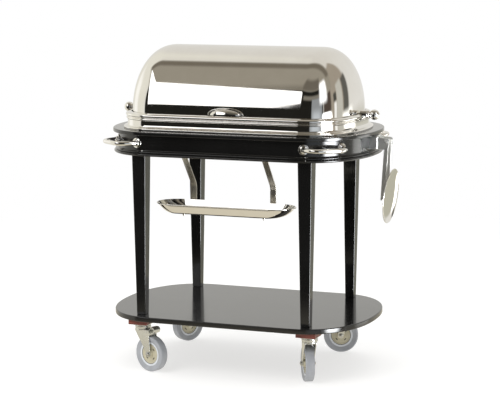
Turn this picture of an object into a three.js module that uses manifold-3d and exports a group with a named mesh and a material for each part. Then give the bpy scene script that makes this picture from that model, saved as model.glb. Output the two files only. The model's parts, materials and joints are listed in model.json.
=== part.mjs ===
// Roll-top carving trolley: a lacquered wooden carriage on four swivel castors, with a silver-plated
// pan frame and a one-piece dome lid that rolls back and under on two end pivots.
// Millimetres, +Z up. The origin is on the floor, under the middle of the whole outline.
// The guest side is -Y.

import * as THREE from 'three';
import { mergeVertices } from 'three/addons/utils/BufferGeometryUtils.js';
import Module from 'manifold-3d';

const wasm = await Module();
wasm.setup();

// ---------------------------------------------------------------- driving dimensions

const GAP = 0.3; // between pieces that touch
const END_STEPS = 14; // facets on each rounded end of an oval
const TURN = Math.PI * 2;
const THROUGH = 1200; // longer than the whole trolley, for bores and cutters

// Every board is an oval: straight sides joined by superelliptic ends.
const CARRIAGE = { straight: 252, end: 219, depth: 315, power: 2.24 };

const SHELF_BOTTOM = 185;
const SHELF_TOP = 203;
const BOARD_TOP = 846;
const BOARD_THICKNESS = 13;
const BOARD_EDGE = 3; // rounding of the board edges
const APRON_INSET = 18; // apron face behind the board edge
const APRON_THICKNESS = 18;
const APRON_BOTTOM = 762;
const BEAD_REACH = 16;

const CORNERS = [
  { name: 'fl', x: -1, y: -1 },
  { name: 'fr', x: 1, y: -1 },
  { name: 'bl', x: -1, y: 1 },
  { name: 'br', x: 1, y: 1 },
];
const LEG = { x: 300, y: 258, top: 49, bottom: 32, tenon: 36 };

const PIVOT_Z = 900;
const DOME = { straight: 266, end: 138, depth: 228, power: 2.31 };
const DOME_WALL = 2;
const DOME_SEGMENTS = 28;
const DOME_OPEN_GAP = 4; // frame opening outside the dome
const EYE_RADIUS = 16; // round lug in each dome end, bored for the pin

const FRAME_FACE = { straight: 266, end: 152, depth: 256, power: 2.3 };
const FRAME_TOP = 902;
const PIN_RADIUS = 6;
const PIVOT_RADIUS = 15;
const PIVOT_X = 426; // middle of the collar in the frame wall
const PIVOT_LENGTH = 34;
const PIN_START = 352; // inner end of the pin, inside the pan's ears
const KNOB_X = 458;
const KNOB_RADIUS = 18;

const WHEEL_RADIUS = 62.5;
const WHEEL_WIDTH = 32;
const WHEEL_SEGMENTS = 20;
const HUB_RADIUS = 43;
const AXLE_RADIUS = 5;
const TRAIL = 40; // axle behind the swivel axis
const FORK_TOP = 149;
const FORK_INSIDE = 17.5; // half the gap between the fork cheeks
const CHEEK = 3;
const CHEEK_FOOT = 11; // radius of the cheek round the axle
const PEDAL = { x: 31, z: 138, pin: 3 };
const PAD = { x: 70, y: 74, bottom: 168, centre: { x: 307, y: 253 } };
const RACE_RADIUS = 28;
const FRONT_CASTOR = { x: 307, y: -241 };
const BACK_CASTOR = { x: 307, y: 256 };
const CASTORS = [
  { name: 'fl', x: -FRONT_CASTOR.x, y: FRONT_CASTOR.y, heading: -20, brake: true },
  { name: 'fr', x: FRONT_CASTOR.x, y: FRONT_CASTOR.y, heading: 117, brake: true },
  { name: 'bl', x: -BACK_CASTOR.x, y: BACK_CASTOR.y, heading: -121, brake: false },
  { name: 'br', x: BACK_CASTOR.x, y: BACK_CASTOR.y, heading: -165, brake: false },
];

const HANDLE_Z = 806;
const HANDLE_FEET_X = [300, 405];
const HANDLE_REACH = 71;
const HANDLE_BAR_RADIUS = 8;

const TRAY = { y: -228, rim: 600, bottom: 566, wall: 2 };
const TRAY_RIM = { straight: 176, end: 73, depth: 68, power: 2 };
const TRAY_FLOOR = { straight: 162, end: 32, depth: 50, power: 2 };
const HANGER_X = 146;
const HANGER_WIDTH = 21;
const HANGER_THICKNESS = 3;

const HOLDER_X = 508;
const HOLDER_Z = 812;
const HOLDER_DROP = 188; // hinge to the middle of the dish
const HOLDER_LEAN = THREE.MathUtils.degToRad(3.5); // the arm hangs a little inwards
const DISH_TILT = THREE.MathUtils.degToRad(2.5); // and the dish tips a little more
const HOLDER_STRAP = { y: 20, width: 15, thickness: 5 };
const HOLDER_BASE = { face: 478, width: 66, low: 784, high: 830 };
const DISH_RADIUS = 95;
const DISH_BACK_X = 522; // back of the dish, a little off the straps

const SAUCE = { x: 242, y: 68, radius: 52, depth: 78 };
const DECK_Z = PIVOT_Z - 12;

// ---------------------------------------------------------------- colours

const finish = (color, roughness, metalness) => {
  return new THREE.MeshStandardMaterial({ color, roughness, metalness });
};
const LACQUER = finish('#0d0d0d', 0.12, 0);
const SILVER = finish('#e2ded6', 0.08, 1);
const STEEL = finish('#c9cac8', 0.3, 1);
const ZINC = finish('#b4b8b6', 0.35, 1);
const MAHOGANY = finish('#6b3028', 0.5, 0);
const MAPLE = finish('#c99a62', 0.55, 0);
const HUB_PLASTIC = finish('#cfc9b0', 0.45, 0);
const RUBBER = finish('#a3a3a5', 0.7, 0);

// ---------------------------------------------------------------- geometry helpers

/** Strips a geometry to shared positions and drops triangles that collapsed. */
function solid(geometry) {
  const bare = new THREE.BufferGeometry();
  bare.setAttribute('position', geometry.getAttribute('position').clone());
  if (geometry.index) bare.setIndex(geometry.index.clone());
  const merged = mergeVertices(bare, 1e-3);
  const source = merged.index.array;
  const kept = [];
  for (let i = 0; i < source.length; i += 3) {
    const [a, b, c] = [source[i], source[i + 1], source[i + 2]];
    if (a !== b && b !== c && c !== a) kept.push(a, b, c);
  }
  merged.setIndex(kept);
  return outward(merged);
}

/** Turns the triangles over if the closed surface encloses a negative volume. */
function outward(geometry) {
  const p = geometry.getAttribute('position');
  const index = geometry.index.array;
  const [a, b, c] = [new THREE.Vector3(), new THREE.Vector3(), new THREE.Vector3()];
  let volume = 0;
  for (let i = 0; i < index.length; i += 3) {
    a.fromBufferAttribute(p, index[i]);
    b.fromBufferAttribute(p, index[i + 1]);
    c.fromBufferAttribute(p, index[i + 2]);
    volume += a.dot(b.cross(c));
  }
  if (volume < 0) {
    for (let i = 0; i < index.length; i += 3) {
      const second = index[i + 1];
      index[i + 1] = index[i + 2];
      index[i + 2] = second;
    }
  }
  return geometry;
}

function toManifold(geometry) {
  const mesh = solid(geometry);
  const vertProperties = new Float32Array(mesh.getAttribute('position').array);
  const triVerts = new Uint32Array(mesh.index.array);
  return new wasm.Manifold(new wasm.Mesh({ numProp: 3, vertProperties, triVerts }));
}

function fromManifold(manifold) {
  const mesh = manifold.getMesh();
  const geometry = new THREE.BufferGeometry();
  const vertices = new Float32Array(mesh.vertProperties);
  geometry.setAttribute('position', new THREE.BufferAttribute(vertices, 3));
  geometry.setIndex(new THREE.BufferAttribute(new Uint32Array(mesh.triVerts), 1));
  return geometry;
}

const chain = (method) => (first, ...rest) => {
  const result = rest.reduce((sum, geometry) => sum[method](toManifold(geometry)), toManifold(first));
  return fromManifold(result);
};
const join = chain('add');
const cut = chain('subtract');
const keep = chain('intersect');

/** Outline points of an oval, anticlockwise from the front of the right end. */
function oval({ straight, end, depth, power }, grow = 0, steps = END_STEPS) {
  const points = [];
  for (const side of [1, -1]) {
    for (let i = 0; i <= steps; i += 1) {
      const angle = Math.PI * (i / steps - 0.5);
      const along = Math.abs(Math.cos(angle)) ** (2 / power);
      const across = Math.sign(Math.sin(angle)) * Math.abs(Math.sin(angle)) ** (2 / power);
      const x = straight + (end + grow) * along;
      points.push(new THREE.Vector2(side * x, side * (depth + grow) * across));
    }
  }
  return points;
}

/** Half depth of an oval at x. */
function ovalDepth({ straight, end, depth, power }, x) {
  const t = Math.max(0, Math.abs(x) - straight) / end;
  return depth * Math.max(0, 1 - t ** power) ** (1 / power);
}

/** Flat board between two heights, with an optional hole and rounded edges. */
function board(outline, bottom, top, { hole = null, round = 0 } = {}) {
  const shape = new THREE.Shape(outline);
  if (hole) shape.holes.push(new THREE.Path(hole));
  const geometry = new THREE.ExtrudeGeometry(shape, {
    depth: top - bottom - 2 * round,
    bevelEnabled: round > 0,
    bevelThickness: round,
    bevelSize: round,
    bevelOffset: -round,
    bevelSegments: 2,
  });
  return geometry.translate(0, 0, bottom + round);
}

/** Skins a stack of outlines. A ring joins the last to the first, otherwise both ends are capped. */
function loft(sections, ring = false) {
  const count = sections[0].outline.length;
  const positions = [];
  for (const { outline, z } of sections) {
    for (const point of outline) positions.push(point.x, point.y, z);
  }
  const faces = [];
  const bands = ring ? sections.length : sections.length - 1;
  for (let row = 0; row < bands; row += 1) {
    const next = (row + 1) % sections.length;
    for (let i = 0; i < count; i += 1) {
      const j = (i + 1) % count;
      faces.push(row * count + i, row * count + j, next * count + j);
      faces.push(row * count + i, next * count + j, next * count + i);
    }
  }
  if (!ring) {
    const last = (sections.length - 1) * count;
    const hub = positions.length / 3;
    positions.push(0, 0, sections[0].z, 0, 0, sections[sections.length - 1].z);
    for (let i = 0; i < count; i += 1) {
      const j = (i + 1) % count;
      faces.push(j, i, hub);
      faces.push(last + i, last + j, hub + 1);
    }
  }
  const geometry = new THREE.BufferGeometry();
  geometry.setAttribute('position', new THREE.Float32BufferAttribute(positions, 3));
  geometry.setIndex(faces);
  return geometry;
}

/** Solid of revolution about Z from [radius, z] pairs. */
function turned(profile, segments) {
  const points = profile.map(([radius, z]) => new THREE.Vector2(radius, z));
  return new THREE.LatheGeometry(points, segments).rotateX(Math.PI / 2);
}

/** A closed profile for turned(): the last point repeats the first. */
const closed = (profile) => [...profile, profile[0]];

const box = (x, y, z) => new THREE.BoxGeometry(x, y, z);
const rod = (radius, length, segments = 16) => {
  return new THREE.CylinderGeometry(radius, radius, length, segments);
};
const rodX = (radius, length, segments) => rod(radius, length, segments).rotateZ(Math.PI / 2);
const rodZ = (radius, length, segments) => rod(radius, length, segments).rotateX(Math.PI / 2);

/** Closed 2D strip of even thickness along a polyline, with mitred corners. */
function strip(points, thickness) {
  const normals = [];
  for (let i = 0; i + 1 < points.length; i += 1) {
    const [dx, dy] = [points[i + 1][0] - points[i][0], points[i + 1][1] - points[i][1]];
    const length = Math.hypot(dx, dy);
    normals.push([-dy / length, dx / length]);
  }
  const side = (sign) => points.map(([x, y], i) => {
    const before = normals[Math.max(0, i - 1)];
    const after = normals[Math.min(normals.length - 1, i)];
    const mitre = 1 + before[0] * after[0] + before[1] * after[1];
    const reach = (sign * thickness) / 2 / (mitre / 2) / 2;
    const [shiftX, shiftY] = [(before[0] + after[0]) * reach, (before[1] + after[1]) * reach];
    return new THREE.Vector2(x + shiftX, y + shiftY);
  });
  return new THREE.Shape([...side(1), ...side(-1).reverse()]);
}

/** Extrudes a shape drawn in (y, z) along X, centred on x = 0. */
function acrossX(shape, width) {
  const geometry = new THREE.ExtrudeGeometry(shape, { depth: width, bevelEnabled: false });
  return geometry.translate(0, 0, -width / 2).rotateX(Math.PI / 2).rotateZ(Math.PI / 2);
}

/** Extrudes a shape drawn in (x, z) along Y, centred on y = 0. */
function acrossY(shape, width) {
  const options = { depth: width, bevelEnabled: false, curveSegments: 5 };
  return new THREE.ExtrudeGeometry(shape, options).translate(0, 0, -width / 2).rotateX(Math.PI / 2);
}

/** Round bar along a curve. */
function bar(curve, radius, sides, steps) {
  const section = new THREE.Shape();
  for (let i = 0; i < sides; i += 1) {
    const angle = (TURN * i) / sides;
    const method = i === 0 ? 'moveTo' : 'lineTo';
    section[method](radius * Math.cos(angle), radius * Math.sin(angle));
  }
  return new THREE.ExtrudeGeometry(section, { extrudePath: curve, steps });
}

const trolley = new THREE.Group();

function place(name, geometry, material, parent = trolley) {
  const mesh = new THREE.Mesh(solid(geometry), material);
  mesh.geometry.computeVertexNormals();
  mesh.name = name;
  parent.add(mesh);
  return mesh;
}

// ---------------------------------------------------------------- wooden carriage

function grown(outline, amount) {
  return { ...outline, end: outline.end + amount, depth: outline.depth + amount };
}

const APRON_FACE = grown(CARRIAGE, -APRON_INSET);
const APRON_BACK = grown(APRON_FACE, -APRON_THICKNESS);
const OPENING = grown(DOME, DOME_OPEN_GAP);

/** Tapered leg whose tenon runs up inside the apron. */
function leg(sideX, sideY, clearance = 0) {
  const bottom = SHELF_TOP + GAP - clearance;
  const top = BOARD_TOP - BOARD_THICKNESS - GAP + clearance;
  const shoulder = APRON_BOTTOM - GAP - clearance;
  const square = (z, width) => {
    const h = width / 2 + clearance;
    const corners = [[h, -h], [h, h], [-h, h], [-h, -h]];
    return { z, outline: corners.map(([x, y]) => new THREE.Vector2(x, y)) };
  };
  const post = loft([
    square(bottom, LEG.bottom),
    square(shoulder, LEG.top),
    square(shoulder, LEG.tenon),
    square(top, LEG.tenon),
  ]);
  return post.translate(sideX * LEG.x, sideY * LEG.y, 0);
}

function makeCarriage() {
  place('shelf', board(oval(CARRIAGE), SHELF_BOTTOM, SHELF_TOP, { round: BOARD_EDGE }), LACQUER);
  const boardBottom = BOARD_TOP - BOARD_THICKNESS;
  const cutout = { hole: oval(OPENING, 3), round: BOARD_EDGE };
  place('top_board', board(oval(CARRIAGE), boardBottom, BOARD_TOP, cutout), LACQUER);
  const housings = CORNERS.map(({ x, y }) => leg(x, y, GAP));
  const hollow = { hole: oval(APRON_BACK) };
  const band = board(oval(APRON_FACE), APRON_BOTTOM, boardBottom - GAP, hollow);
  place('apron', cut(band, ...housings), LACQUER);
  for (const { name, x, y } of CORNERS) place(`leg_${name}`, leg(x, y), LACQUER);
}

/** Two-step moulding round the foot of the apron: [reach, height] pairs. */
function makeBead() {
  const profile = [
    [GAP, 0], [BEAD_REACH - 3, 0], [BEAD_REACH, 3], [BEAD_REACH - 2, 6.5],
    [BEAD_REACH - 6, 8], [BEAD_REACH - 6, 15], [BEAD_REACH - 10, 18.5], [GAP, 20],
  ];
  const sections = profile.map(([reach, up]) => {
    return { outline: oval(APRON_FACE, reach), z: APRON_BOTTOM + up };
  });
  place('apron_bead', loft(sections, true), LACQUER);
}

// ---------------------------------------------------------------- castors, drawn trailing along +X

function forkCheek() {
  const shape = new THREE.Shape();
  shape.moveTo(-20, FORK_TOP);
  shape.lineTo(-20, 140);
  shape.lineTo(TRAIL - CHEEK_FOOT, WHEEL_RADIUS);
  shape.absarc(TRAIL, WHEEL_RADIUS, CHEEK_FOOT, Math.PI, TURN, false);
  shape.lineTo(PEDAL.x + 15, PEDAL.z - 28);
  shape.lineTo(PEDAL.x + 15, FORK_TOP);
  shape.closePath();
  return acrossY(shape, CHEEK);
}

function makeFork() {
  const offset = FORK_INSIDE + CHEEK / 2;
  const cheeks = [1, -1].map((side) => forkCheek().translate(0, side * offset, 0));
  const crown = box(50, 2 * FORK_INSIDE + CHEEK, 5).translate(1, 0, FORK_TOP - 2.5);
  const head = rodZ(24.5, 9, 12).translate(0, 0, FORK_TOP - 4.5);
  const bore = rod(AXLE_RADIUS + GAP, 80, 10).translate(TRAIL, 0, WHEEL_RADIUS);
  const pedalBore = rod(PEDAL.pin + GAP, 80, 10).translate(PEDAL.x, 0, PEDAL.z);
  return cut(join(crown, head, ...cheeks), bore, pedalBore);
}

function makeTyre() {
  const half = WHEEL_WIDTH / 2;
  const profile = closed([
    [HUB_RADIUS + GAP, -half + 4], [WHEEL_RADIUS - 5, -half], [WHEEL_RADIUS, -half + 6],
    [WHEEL_RADIUS, half - 6], [WHEEL_RADIUS - 5, half], [HUB_RADIUS + GAP, half - 4],
  ]);
  return turned(profile, WHEEL_SEGMENTS).rotateX(Math.PI / 2);
}

function makeHub() {
  const half = WHEEL_WIDTH / 2;
  const bore = AXLE_RADIUS + GAP;
  const profile = closed([
    [bore, -half - 1], [12, -half - 1], [15, -half + 7], [36, -half + 7], [HUB_RADIUS, -half + 4],
    [HUB_RADIUS, half - 4], [36, half - 7], [15, half - 7], [12, half + 1], [bore, half + 1],
  ]);
  return turned(profile, WHEEL_SEGMENTS).rotateX(Math.PI / 2);
}

function makeAxle() {
  const outside = FORK_INSIDE + CHEEK + GAP;
  const profile = [
    [0, -outside - 3], [8, -outside - 3], [8, -outside], [AXLE_RADIUS, -outside],
    [AXLE_RADIUS, outside], [8, outside], [8, outside + 3], [0, outside + 3],
  ];
  return turned(profile, 10).rotateX(Math.PI / 2);
}

/** Curled foot loop on a cross pin between the fork cheeks. */
function makePedal() {
  const { x, z, pin } = PEDAL;
  const route = [
    [x, z], [x + 17, z - 2], [x + 31, z + 2], [x + 36, z + 12], [x + 29, z + 20], [x + 17, z + 20],
  ];
  const lever = acrossY(strip(route, 4), 2 * FORK_INSIDE - 3);
  const window = box(12, 18, 14).translate(x + 23, 0, z);
  const pivot = rod(pin, 2 * (FORK_INSIDE + CHEEK + 2), 10).translate(x, 0, z);
  return join(cut(lever, window), pivot);
}

function makeCastor({ name, x, y, heading, brake }) {
  const group = new THREE.Group();
  group.position.set(x, y, 0);
  trolley.add(group);
  const padHeight = SHELF_BOTTOM - GAP - PAD.bottom;
  const pad = box(PAD.x, PAD.y, padHeight).translate(
    Math.sign(x) * PAD.centre.x,
    Math.sign(y) * PAD.centre.y,
    PAD.bottom + padHeight / 2,
  );
  place(`castor_pad_${name}`, pad, MAHOGANY);
  const plate = box(62, 60, 3).translate(0, 0, PAD.bottom - GAP - 1.5);
  const raceTop = PAD.bottom - 1;
  const race = rodZ(RACE_RADIUS, raceTop - FORK_TOP, 20).translate(0, 0, (raceTop + FORK_TOP + GAP) / 2);
  place(`castor_plate_${name}`, join(plate, race), ZINC, group);
  const swivel = new THREE.Group();
  swivel.rotation.z = THREE.MathUtils.degToRad(heading);
  group.add(swivel);
  place(`castor_fork_${name}`, makeFork(), ZINC, swivel);
  if (brake) place(`brake_pedal_${name}`, makePedal(), ZINC, swivel);
  const wheel = new THREE.Group();
  wheel.position.set(TRAIL, 0, WHEEL_RADIUS);
  swivel.add(wheel);
  place(`castor_axle_${name}`, makeAxle(), STEEL, wheel);
  place(`wheel_hub_${name}`, makeHub(), HUB_PLASTIC, wheel);
  place(`wheel_tyre_${name}`, makeTyre(), RUBBER, wheel);
}

// ---------------------------------------------------------------- silver pan frame and its pivots

/** Moulded rim: flange, plain wall, bead, groove and top bead outside, straight opening inside. */
function makeFrame() {
  const outside = [
    [12, BOARD_TOP + GAP], [14, 849], [12, 853], [3, 857], [0, 861],
    [0, 878], [4, 882], [2, 886], [0, 890], [5, 896], [1, FRAME_TOP],
  ];
  const sections = outside.map(([reach, z]) => ({ outline: oval(FRAME_FACE, reach), z }));
  sections.push({ outline: oval(OPENING), z: FRAME_TOP }, { outline: oval(OPENING), z: BOARD_TOP + GAP });
  const seat = rodX(PIVOT_RADIUS + GAP, 60, 20).translate(PIVOT_X, 0, PIVOT_Z);
  const seats = [seat, seat.clone().translate(-2 * PIVOT_X, 0, 0)];
  return cut(loft(sections, true), ...seats);
}

function makePivotBracket(side) {
  const collar = rodX(PIVOT_RADIUS, PIVOT_LENGTH, 20).translate(side * PIVOT_X, 0, PIVOT_Z);
  const bore = rodX(PIN_RADIUS + GAP, 60, 16).translate(side * PIVOT_X, 0, PIVOT_Z);
  return cut(collar, bore);
}

/** Pin and ball finial in one turned piece, from inside the dome end outwards. */
function makePivotKnob(side) {
  const ball = [];
  for (let i = 0; i <= 8; i += 1) {
    const angle = Math.PI * (0.22 + 0.78 * (i / 8));
    ball.push([KNOB_RADIUS * Math.sin(angle), KNOB_X - KNOB_RADIUS * Math.cos(angle)]);
  }
  ball[ball.length - 1][0] = 0;
  const shoulder = PIVOT_X + PIVOT_LENGTH / 2 + GAP;
  const stem = [[0, PIN_START], [PIN_RADIUS, PIN_START], [PIN_RADIUS, shoulder], [11, shoulder]];
  return turned([...stem, ...ball], 16).rotateY((side * Math.PI) / 2).translate(0, 0, PIVOT_Z);
}

// ---------------------------------------------------------------- what the frame carries

function makeWaterPan() {
  const rim = { straight: 210, end: 144, depth: 198, power: 2.3 };
  const foot = { straight: 210, end: 112, depth: 166, power: 2.3 };
  const rimZ = DECK_Z - GAP;
  const footZ = PIVOT_Z - 112;
  const sections = [
    { outline: oval(foot, -14), z: footZ },
    { outline: oval(foot), z: footZ + 12 },
    { outline: oval(rim, -12), z: rimZ - 3 },
    { outline: oval(rim), z: rimZ - 2 },
    { outline: oval(rim), z: rimZ },
    { outline: oval(rim, -14), z: rimZ },
    { outline: oval(foot, -2), z: footZ + 13 },
    { outline: oval(foot, -16), z: footZ + 2 },
  ];
  const ears = [1, -1].map((side) => box(4, 34, 44).translate(side * 362, 0, PIVOT_Z - 6));
  const arms = [1, -1].map((side) => box(16, 34, 2).translate(side * 353, 0, rimZ - 1));
  const bore = rodX(PIN_RADIUS + GAP, THROUGH, 16).translate(0, 0, PIVOT_Z);
  return cut(join(loft(sections), ...ears, ...arms), bore);
}

function sauceCircle(y, radius) {
  return new THREE.Path().absarc(SAUCE.x, y, radius, 0, TURN, true);
}

function makeDeck() {
  const shape = new THREE.Shape(oval({ straight: 205, end: 138, depth: 190, power: 2.3 }));
  shape.holes.push(sauceCircle(SAUCE.y, SAUCE.radius + 1), sauceCircle(-SAUCE.y, SAUCE.radius + 1));
  const geometry = new THREE.ExtrudeGeometry(shape, { depth: 2, bevelEnabled: false, curveSegments: 20 });
  return geometry.translate(0, 0, DECK_Z);
}

function makeSaucePan() {
  const r = SAUCE.radius;
  const profile = [
    [0, -SAUCE.depth], [r - 6, -SAUCE.depth], [r, -SAUCE.depth + 6], [r, 0], [r + 7, 0],
    [r + 7, 2], [r - 2, 2], [r - 2, -SAUCE.depth + 7], [r - 7, -SAUCE.depth + 2], [0, -SAUCE.depth + 2],
  ];
  return turned(profile, 20);
}

function makeSauceLid() {
  const r = SAUCE.radius;
  const profile = [
    [0, 0], [r + 5, 0], [r + 5, 2], [r - 2, 5], [24, 12], [5, 14],
    [5, 20], [9, 23], [9, 28], [5, 31], [0, 31],
  ];
  return turned(profile, 16);
}

function makeFittings() {
  place('water_pan', makeWaterPan(), STEEL);
  place('pan_deck', makeDeck(), STEEL);
  const deckTop = DECK_Z + 2 + GAP;
  const outline = { straight: 190, end: 40, depth: 150, power: 4 };
  const blank = board(oval(outline, 0, 6), deckTop, deckTop + 20, { round: 3 }).translate(-70, 0, 0);
  const inside = { hole: oval(outline, -26, 6) };
  const groove = board(oval(outline, -16, 6), deckTop + 16, deckTop + 30, inside);
  place('carving_board', cut(blank, groove.translate(-70, 0, 0)), MAPLE);
  [-1, 1].forEach((side) => {
    const at = [SAUCE.x, side * SAUCE.y];
    const name = side < 0 ? 'front' : 'back';
    place(`sauce_pan_${name}`, makeSaucePan().translate(...at, deckTop), STEEL);
    place(`sauce_lid_${name}`, makeSauceLid().translate(...at, deckTop + 2 + GAP), SILVER);
  });
}

// ---------------------------------------------------------------- dome lid

/** Half of a turned shell about the X axis, its rim on the pivot axis, with a bored lug in each end. */
function makeDome() {
  const steps = 9;
  const eye = PIN_RADIUS + 0.6;
  const side = (wall, sign) => {
    const points = [];
    for (let i = 0; i <= steps; i += 1) {
      const angle = (Math.PI / 2) * (i / steps);
      const radius = Math.max(eye, (DOME.depth - wall) * Math.sin(angle) ** (2 / DOME.power));
      const along = DOME.straight + (DOME.end - wall) * Math.cos(angle) ** (2 / DOME.power);
      points.push([radius, sign * along]);
    }
    return points;
  };
  const outer = [...side(0, -1), ...side(0, 1).reverse()];
  const inner = [...side(DOME_WALL, 1), ...side(DOME_WALL, -1).reverse()];
  const shell = turned(closed([...outer, ...inner]), DOME_SEGMENTS).rotateY(Math.PI / 2);
  const above = box(THROUGH, THROUGH, THROUGH).translate(0, 0, THROUGH / 2 + GAP);
  const end = DOME.straight + DOME.end;
  const lugs = [3 - end, end - 3].map((x) => rodX(EYE_RADIUS, 4, 20).translate(x, 0, 0));
  const bore = rodX(eye, THROUGH, 16);
  return cut(join(keep(shell, above), ...lugs), bore).translate(0, 0, PIVOT_Z);
}

/** Half-moon cup pull, open underneath, on a thin back plate. */
function makePull() {
  const half = { width: 56, out: 17, height: 21 };
  const bowl = (shrink) => new THREE.SphereGeometry(1, 20, 10)
    .scale(half.width - shrink, half.out - shrink, half.height - shrink);
  const cup = cut(bowl(0), bowl(2));
  const plateShape = new THREE.Shape().absellipse(0, 0, 65, 25, 0, Math.PI, false, 0);
  const options = { depth: 2, bevelEnabled: false, curveSegments: 14 };
  const plate = new THREE.ExtrudeGeometry(plateShape, options);
  const upper = box(140, 30, 40).translate(0, -15, 20);
  const back = DOME.depth + GAP;
  const both = join(keep(cup, upper), plate.rotateX(Math.PI / 2).translate(0, 0.4, 0));
  return both.translate(0, -back - 0.4, FRAME_TOP + 2);
}

// ---------------------------------------------------------------- corner handles

/** D handle on the rounded corner, its two feet square to the apron face. */
function makeHandle(sideX, sideY) {
  const foot = (x) => {
    const y = ovalDepth(APRON_FACE, x);
    const slope = (ovalDepth(APRON_FACE, x + 1) - ovalDepth(APRON_FACE, x - 1)) / 2;
    return { at: new THREE.Vector3(x, y, 0), normal: new THREE.Vector3(-slope, 1, 0).normalize() };
  };
  const feet = HANDLE_FEET_X.map(foot);
  const chord = feet[1].at.clone().sub(feet[0].at).normalize();
  const out = new THREE.Vector3(-chord.y, chord.x, 0);
  const between = (t, reach) => feet[0].at.clone().lerp(feet[1].at, t).addScaledVector(out, reach);
  const curve = new THREE.CatmullRomCurve3([
    feet[0].at.clone().addScaledVector(feet[0].normal, -4),
    feet[0].at.clone().addScaledVector(feet[0].normal, 14),
    between(0.02, HANDLE_REACH * 0.62),
    between(0.2, HANDLE_REACH * 0.95),
    between(0.5, HANDLE_REACH),
    between(0.8, HANDLE_REACH * 0.95),
    between(0.98, HANDLE_REACH * 0.62),
    feet[1].at.clone().addScaledVector(feet[1].normal, 14),
    feet[1].at.clone().addScaledVector(feet[1].normal, -4),
  ]);
  const pieces = [bar(curve, HANDLE_BAR_RADIUS, 8, 16)];
  for (const { at, normal } of feet) {
    const rose = turned([[0, -6], [18, -6], [18, 3], [11, 6], [9, 12], [0, 12]], 12);
    rose.rotateX(-Math.PI / 2).rotateZ(Math.atan2(-normal.x, normal.y));
    pieces.push(rose.translate(at.x, at.y, 0));
  }
  const wall = board(oval(APRON_FACE, GAP), -60, 60);
  return cut(join(...pieces), wall).scale(sideX, sideY, 1).translate(0, 0, HANDLE_Z);
}

// ---------------------------------------------------------------- cutlery tray

function makeTray() {
  const rise = TRAY.rim - TRAY.bottom;
  const side = (flare, shrink) => {
    const mix = (key) => TRAY_FLOOR[key] + (TRAY_RIM[key] - TRAY_FLOOR[key]) * flare;
    const outline = { straight: mix('straight'), end: mix('end'), depth: mix('depth'), power: 2 };
    return oval(outline, -shrink);
  };
  const flares = [0, 0.35, 0.6, 0.8, 0.93];
  const skin = (wall) => flares.map((flare) => {
    return { outline: side(flare, wall), z: TRAY.bottom + wall + (rise - wall) * flare * flare };
  });
  const lip = [
    { outline: oval(TRAY_RIM, -2), z: TRAY.rim - 4 },
    { outline: oval(TRAY_RIM, 1), z: TRAY.rim - 2 },
    { outline: oval(TRAY_RIM, -1), z: TRAY.rim },
    { outline: oval(TRAY_RIM, -5), z: TRAY.rim - 1 },
  ];
  return loft([...skin(0), ...lip, ...skin(TRAY.wall).reverse()]).translate(0, TRAY.y, 0);
}

/** Bent flat strap from the inner face of the apron, down behind the tray and forward under it. */
function makeHanger(side) {
  const half = HANGER_THICKNESS / 2;
  const apronBack = -(APRON_BACK.depth - GAP - half);
  const trayBack = TRAY.y + TRAY_RIM.depth + 1 + GAP + half;
  const under = TRAY.bottom - GAP - half;
  const route = [
    [apronBack, 824], [apronBack, 800], [trayBack, 655], [trayBack, under], [TRAY.y - 28, under],
  ];
  const strap = acrossX(strip(route, HANGER_THICKNESS), HANGER_WIDTH);
  const screw = rodZ(3, 9, 10).translate(0, TRAY.y - 22, under - 5);
  return join(strap, screw).translate(side * HANGER_X, 0, 0);
}

// ---------------------------------------------------------------- folding plate holder

/** Block on the apron with a cheek outside each strap. */
function makeHolderBracket() {
  const { face, width, low, high } = HOLDER_BASE;
  const base = box(30, width, high - low).translate(face - 15, 0, (low + high) / 2);
  const cheekY = HOLDER_STRAP.y + HOLDER_STRAP.thickness + GAP;
  const cheek = (side) => {
    const shape = new THREE.Shape();
    shape.moveTo(face - 4, low);
    shape.lineTo(HOLDER_X - 4, low);
    shape.quadraticCurveTo(HOLDER_X + 8, low + 2, HOLDER_X + 10, HOLDER_Z - 6);
    shape.absarc(HOLDER_X, HOLDER_Z, 11, -0.6, Math.PI / 2, false);
    shape.lineTo(face - 4, high - 3);
    shape.closePath();
    return acrossY(shape, HOLDER_STRAP.thickness).translate(0, side * cheekY, 0);
  };
  const bore = rod(4 + GAP, 80, 12).translate(HOLDER_X, 0, HOLDER_Z);
  const wall = board(oval(APRON_FACE, GAP), low - 20, high + 20);
  return cut(join(base, cheek(1), cheek(-1)), bore, wall);
}

function makeHolderPin() {
  const reach = HOLDER_STRAP.y + 1.5 * HOLDER_STRAP.thickness + 2 * GAP;
  const half = [[4, reach], [7, reach], [7, reach + 3], [0, reach + 3]];
  const profile = [...half.map(([radius, along]) => [radius, -along]).reverse(), ...half];
  return turned(profile, 12).rotateX(Math.PI / 2).translate(HOLDER_X, 0, HOLDER_Z);
}

/** Swings a piece drawn hanging straight down to the angle at which it rests. */
function leaning(geometry) {
  const aboutHinge = geometry.translate(-HOLDER_X, 0, -HOLDER_Z).rotateY(HOLDER_LEAN);
  return aboutHinge.translate(HOLDER_X, 0, HOLDER_Z);
}

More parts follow.
